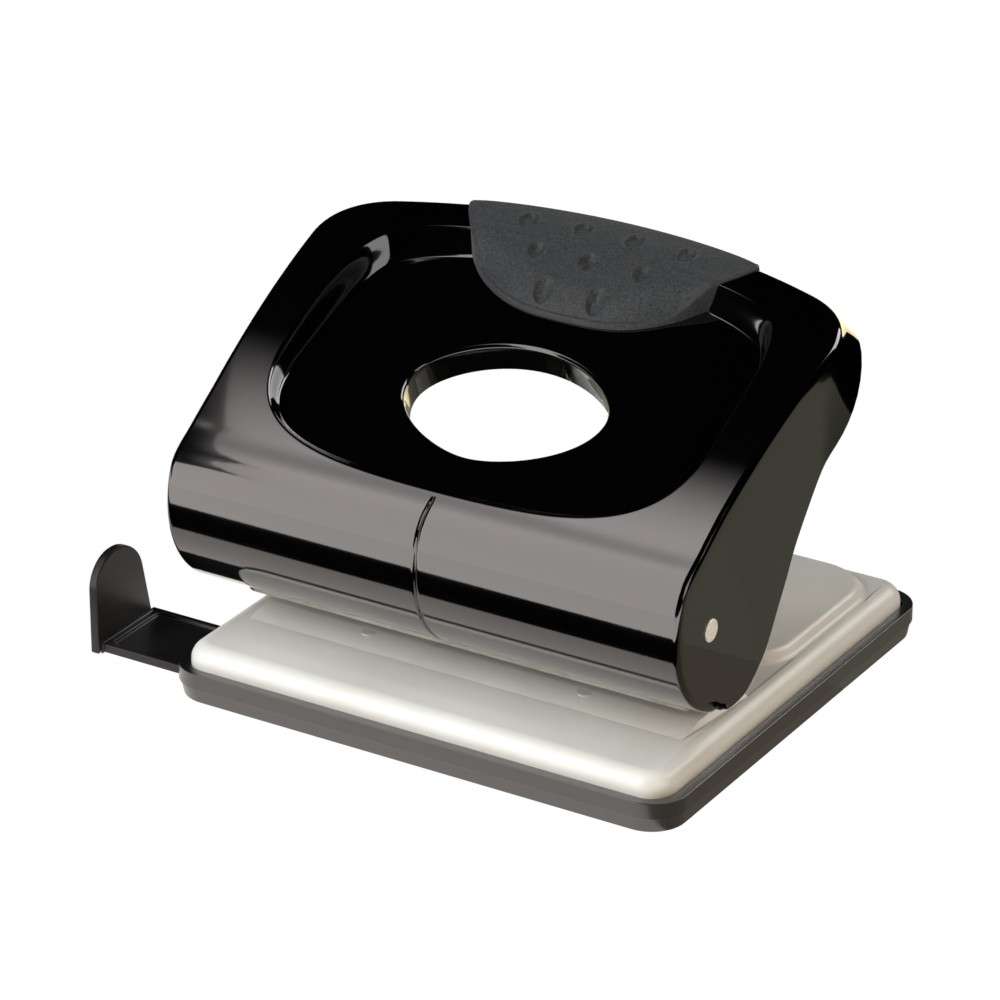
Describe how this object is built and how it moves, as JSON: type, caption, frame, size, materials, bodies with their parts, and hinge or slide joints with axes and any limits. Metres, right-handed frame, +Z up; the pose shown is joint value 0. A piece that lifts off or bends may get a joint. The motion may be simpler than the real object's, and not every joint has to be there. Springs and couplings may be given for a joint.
{
  "type": "hole punch",
  "caption": "Desk hole punch: a rocking steel lever with a finger hole drives two sprung punches through a die plate over a chip tray, with a sliding paper guide",
  "frame": {"origin": "centre of the chip tray's flat underside, where the punch stands on the desk", "axes": "+X to the user's right along the two punched holes, +Y away from the throat towards the pressed end of the lever, +Z up"},
  "size_m": [0.1418, 0.111, 0.0901],
  "materials": {
    "black_enamel": "gloss black baked enamel",
    "grey_enamel": "satin light grey baked enamel",
    "black_plastic": "moulded, fine texture",
    "charcoal_rubber": "matte, fine grain",
    "zinc_steel": "zinc plated pressing",
    "bright_steel": "ground bright",
    "spring_steel": "drawn wire"
  },
  "bodies": {
    "base": {"base_plate": "grey_enamel", "die_plate": "grey_enamel", "punch_frame": "zinc_steel", "frame_rivet_1": "bright_steel", "frame_rivet_2": "bright_steel", "frame_rivet_3": "bright_steel", "frame_rivet_4": "bright_steel", "die_rivet_left": "bright_steel", "die_rivet_right": "bright_steel", "punch_bush_left": "zinc_steel", "punch_bush_right": "zinc_steel", "punch_spring_left": "spring_steel", "punch_spring_right": "spring_steel", "pivot_pin_left": "bright_steel", "pivot_pin_right": "bright_steel", "pivot_spacer_left": "zinc_steel", "pivot_spacer_right": "zinc_steel", "guide_strap_left": "zinc_steel", "guide_strap_right": "zinc_steel", "guide_spring": "spring_steel"},
    "lever": {"lever_cover": "black_enamel", "grip_pad": "charcoal_rubber", "lever_yoke": "zinc_steel", "press_bar": "bright_steel"},
    "punch_left": {"punch_pin_left": "bright_steel", "punch_collar_left": "zinc_steel"},
    "punch_right": {"punch_pin_right": "bright_steel", "punch_collar_right": "zinc_steel"},
    "chip_tray": {"chip_tray": "black_plastic"},
    "paper_guide": {"paper_guide": "black_plastic"}
  },
  "joints": [
    {"name": "lever_hinge", "type": "hinge", "parent": "base", "child": "lever", "pos_m": [0, -0.04, 0.0399], "axis": [-1, 0, 0], "range_deg": [0, 28], "stiffness_Nm_per_rad": 0.55, "springref_deg": -28.07},
    {"name": "punch_left_slide", "type": "slide", "parent": "base", "child": "punch_left", "axis": [0, 0, -1], "range_m": [0, 0.0082], "deforming": ["punch_spring_left"]},
    {"name": "punch_right_slide", "type": "slide", "parent": "base", "child": "punch_right", "axis": [0, 0, -1], "range_m": [0, 0.0082], "deforming": ["punch_spring_right"]},
    {"name": "chip_tray_release", "type": "slide", "parent": "base", "child": "chip_tray", "axis": [0, 0, -1], "range_m": [0, 0.02]},
    {"name": "paper_guide_slide", "type": "slide", "parent": "base", "child": "paper_guide", "axis": [-1, 0, 0], "range_m": [-0.017, 0.07]}
  ],
  "couplings": [
    {"joint": "punch_left_slide", "follows": "lever_hinge", "m_per_rad": 0.01674},
    {"joint": "punch_right_slide", "follows": "lever_hinge", "m_per_rad": 0.01674}
  ]
}
